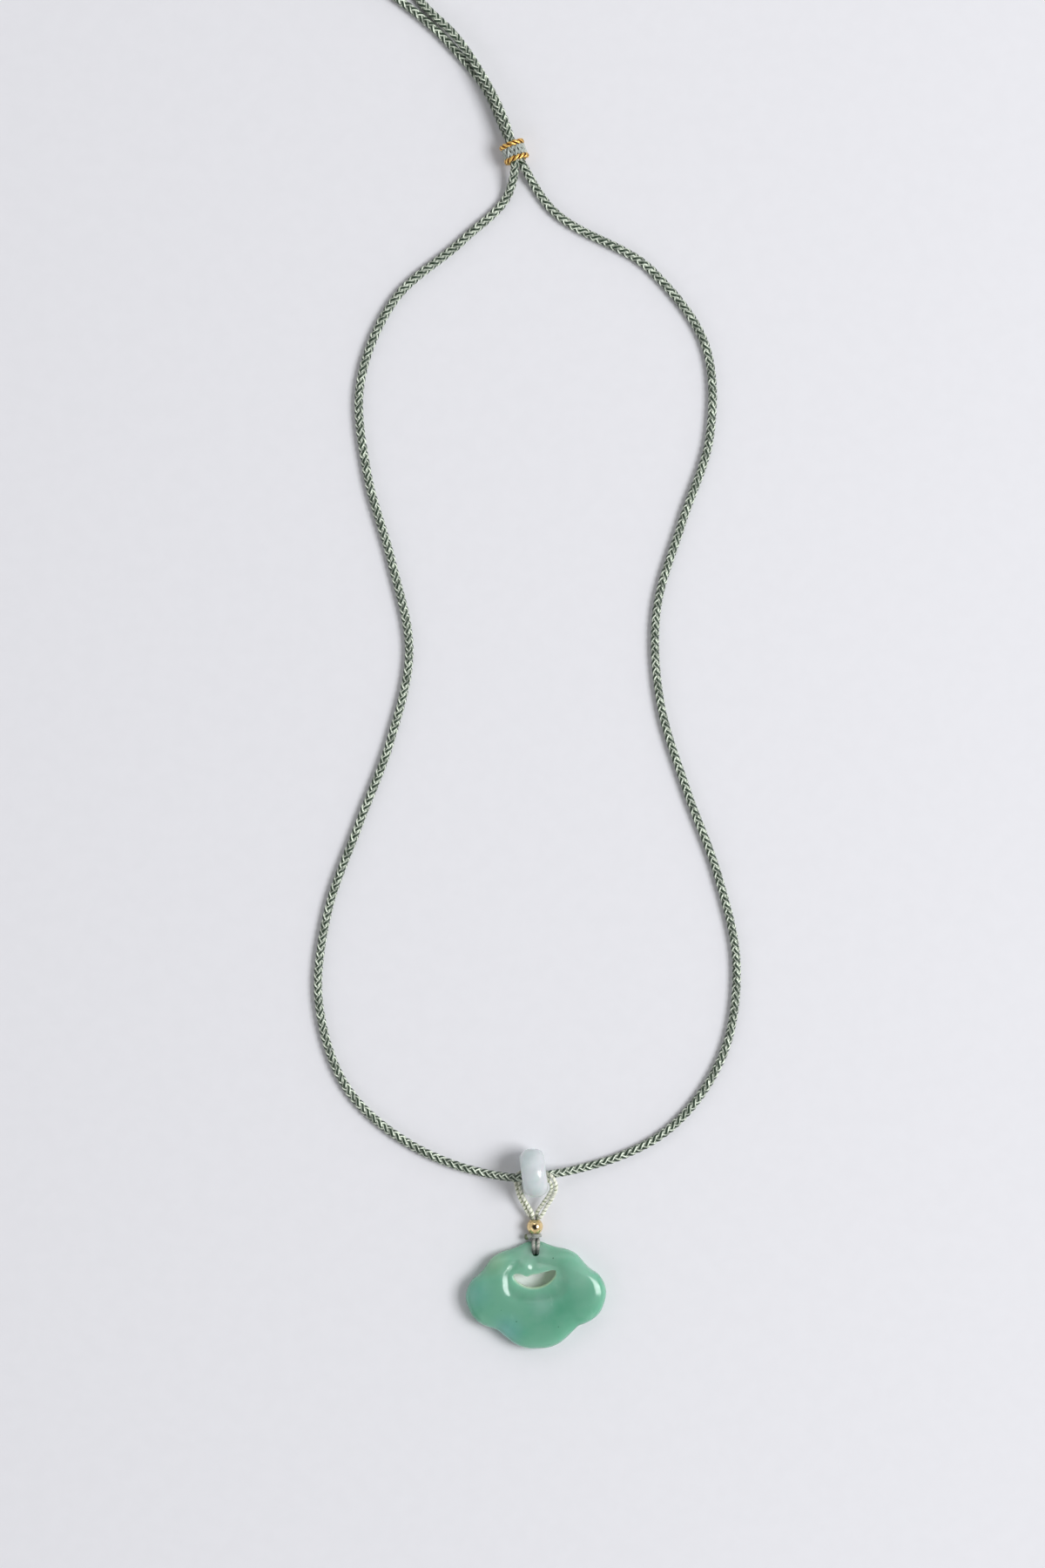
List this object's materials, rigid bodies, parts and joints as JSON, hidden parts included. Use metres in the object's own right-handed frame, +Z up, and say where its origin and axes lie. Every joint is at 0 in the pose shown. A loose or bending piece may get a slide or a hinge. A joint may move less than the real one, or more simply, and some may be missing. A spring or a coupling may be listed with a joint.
{
  "type": "jade pendant necklace",
  "caption": "Carved green jade cloud-lock pendant on a braided sage cord with a pale jade ring bead and a sliding knot.",
  "frame": {"origin": "on the surface that it lies on, under the middle of the hard pieces, between the pendant's foot and the sliding knot's top", "axes": "+Z up from the surface; +Y from the pendant to the sliding knot; +X to the right as seen from above"},
  "size_m": [0.0978, 0.3229, 0.0112],
  "materials": {
    "cord": "satin",
    "wrap_thread": "satin",
    "gold_thread": "satin",
    "ice_jade": "polished",
    "bail_thread": "satin",
    "gold_metal": "polished",
    "green_jade": "polished"
  },
  "bodies": {
    "root": {"necklace_cord": "cord", "tail_knot_a": "cord", "tail_knot_b": "cord", "sliding_knot_wrap": "wrap_thread", "sliding_knot_gold_upper": "gold_thread", "sliding_knot_gold_lower": "gold_thread", "ring_bead": "ice_jade", "bail_cord": "bail_thread", "gold_bead": "gold_metal", "hitch_knot": "bail_thread", "jade_pendant": "green_jade"}
  },
  "joints": []
}
